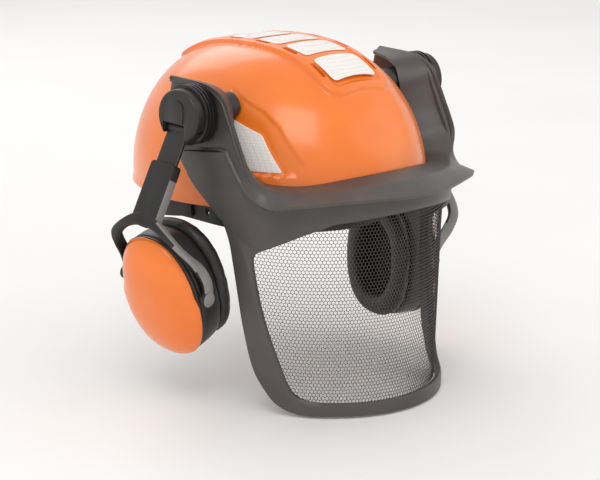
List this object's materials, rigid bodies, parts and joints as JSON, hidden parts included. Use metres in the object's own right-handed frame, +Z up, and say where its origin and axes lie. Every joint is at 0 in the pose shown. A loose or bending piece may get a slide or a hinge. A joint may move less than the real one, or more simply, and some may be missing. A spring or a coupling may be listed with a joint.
{
  "type": "forestry helmet",
  "caption": "Orange forestry helmet with a peaked wire-mesh visor that flips up, ear muffs on swinging arms, and an inner harness with a ratchet nape band.",
  "frame": {"origin": "centre of the shell in plan, level with the top of the headband, where the wearer's head seats", "axes": "+Z up through the crown, -Y the way the wearer faces, -X to the wearer's right"},
  "size_m": [0.3426, 0.314, 0.2868],
  "materials": {
    "shell_orange": "glossy moulded ABS",
    "reflector": "prismatic reflective film",
    "carrier_black": "satin moulded nylon",
    "mesh_black": "black coated etched steel mesh",
    "pin_steel": "zinc plated",
    "harness_black": "moulded polyethylene",
    "sweatband_cloth": "knit over foam",
    "webbing_cloth": "woven polyester tape",
    "foam_grey": "open-cell foam",
    "cushion_foil": "soft black PU foil"
  },
  "bodies": {
    "helmet": {"shell": "shell_orange", "ridge_reflectors": "reflector", "left_reflector": "reflector", "right_reflector": "reflector", "left_hub_base": "carrier_black", "right_hub_base": "carrier_black", "left_hub_screw": "pin_steel", "right_hub_screw": "pin_steel", "brow_band": "harness_black", "side_bands": "harness_black", "sweatband": "sweatband_cloth", "crown_webbing": "webbing_cloth", "crown_pad": "foam_grey", "cradle_clips": "harness_black"},
    "visor": {"visor_carrier": "carrier_black", "carrier_pins": "pin_steel", "visor_frame": "carrier_black", "visor_mesh": "mesh_black", "visor_top_bar": "carrier_black"},
    "nape": {"nape_band": "harness_black", "nape_pad": "sweatband_cloth", "ratchet_housing": "harness_black"},
    "ratchet_knob": {"ratchet_knob": "harness_black"},
    "right_cap": {"right_hub_cap": "carrier_black", "right_hinge_pin": "pin_steel"},
    "right_strap": {"right_arm_strap": "carrier_black"},
    "right_yoke": {"right_yoke": "carrier_black", "right_cup_pins": "carrier_black"},
    "right_cup": {"right_cup_cap": "shell_orange", "right_cup_housing": "carrier_black", "right_cup_foam": "foam_grey", "right_ear_cushion": "cushion_foil"},
    "left_cap": {"left_hub_cap": "carrier_black", "left_hinge_pin": "pin_steel"},
    "left_strap": {"left_arm_strap": "carrier_black"},
    "left_yoke": {"left_yoke": "carrier_black", "left_cup_pins": "carrier_black"},
    "left_cup": {"left_cup_cap": "shell_orange", "left_cup_housing": "carrier_black", "left_cup_foam": "foam_grey", "left_ear_cushion": "cushion_foil"}
  },
  "joints": [
    {"name": "visor_lift", "type": "hinge", "parent": "helmet", "child": "visor", "pos_m": [0, -0.038, 0.064], "axis": [-1, 0, 0], "range_deg": [0, 80]},
    {"name": "nape_slide", "type": "slide", "parent": "helmet", "child": "nape", "axis": [0, -1, 0], "range_m": [-0.006, 0.01]},
    {"name": "ratchet_turn", "type": "hinge", "parent": "nape", "child": "ratchet_knob", "pos_m": [0, 0.115, -0.037], "axis": [0, 1, 0], "range_deg": [-60, 100]},
    {"name": "right_muff_swing", "type": "hinge", "parent": "helmet", "child": "right_cap", "pos_m": [-0.118, -0.038, 0.064], "axis": [0.9945, 0.1045, 0], "range_deg": [0, 50]},
    {"name": "right_muff_flare", "type": "hinge", "parent": "right_cap", "child": "right_strap", "pos_m": [-0.13376, -0.03541, 0.05377], "axis": [-0.1043, 0.9921, 0.0698], "range_deg": [-10, 14]},
    {"name": "right_arm_slide", "type": "slide", "parent": "right_strap", "child": "right_yoke", "axis": [0.4425, -0.0165, 0.8966], "range_m": [-0.024, 0]},
    {"name": "right_cup_tilt", "type": "hinge", "parent": "right_yoke", "child": "right_cup", "pos_m": [-0.14366, -0.02747, -0.07392], "axis": [0.1043, -0.9921, -0.0698], "range_deg": [-35, 5]},
    {"name": "left_muff_swing", "type": "hinge", "parent": "helmet", "child": "left_cap", "pos_m": [0.118, -0.038, 0.064], "axis": [0.9945, -0.1045, 0], "range_deg": [0, 16]},
    {"name": "left_muff_flare", "type": "hinge", "parent": "left_cap", "child": "left_strap", "pos_m": [0.13376, -0.03541, 0.05377], "axis": [-0.1043, -0.9921, -0.0698], "range_deg": [-4, 24]},
    {"name": "left_arm_slide", "type": "slide", "parent": "left_strap", "child": "left_yoke", "axis": [-0.2811, -0.0379, 0.9589], "range_m": [-0.006, 0.018]},
    {"name": "left_cup_tilt", "type": "hinge", "parent": "left_yoke", "child": "left_cup", "pos_m": [0.12648, -0.02448, -0.0908], "axis": [0.1043, 0.9921, 0.0698], "range_deg": [-8, 32]}
  ],
  "couplings": [
    {"joint": "ratchet_turn", "follows": "nape_slide", "rad_per_m": 166.67}
  ]
}
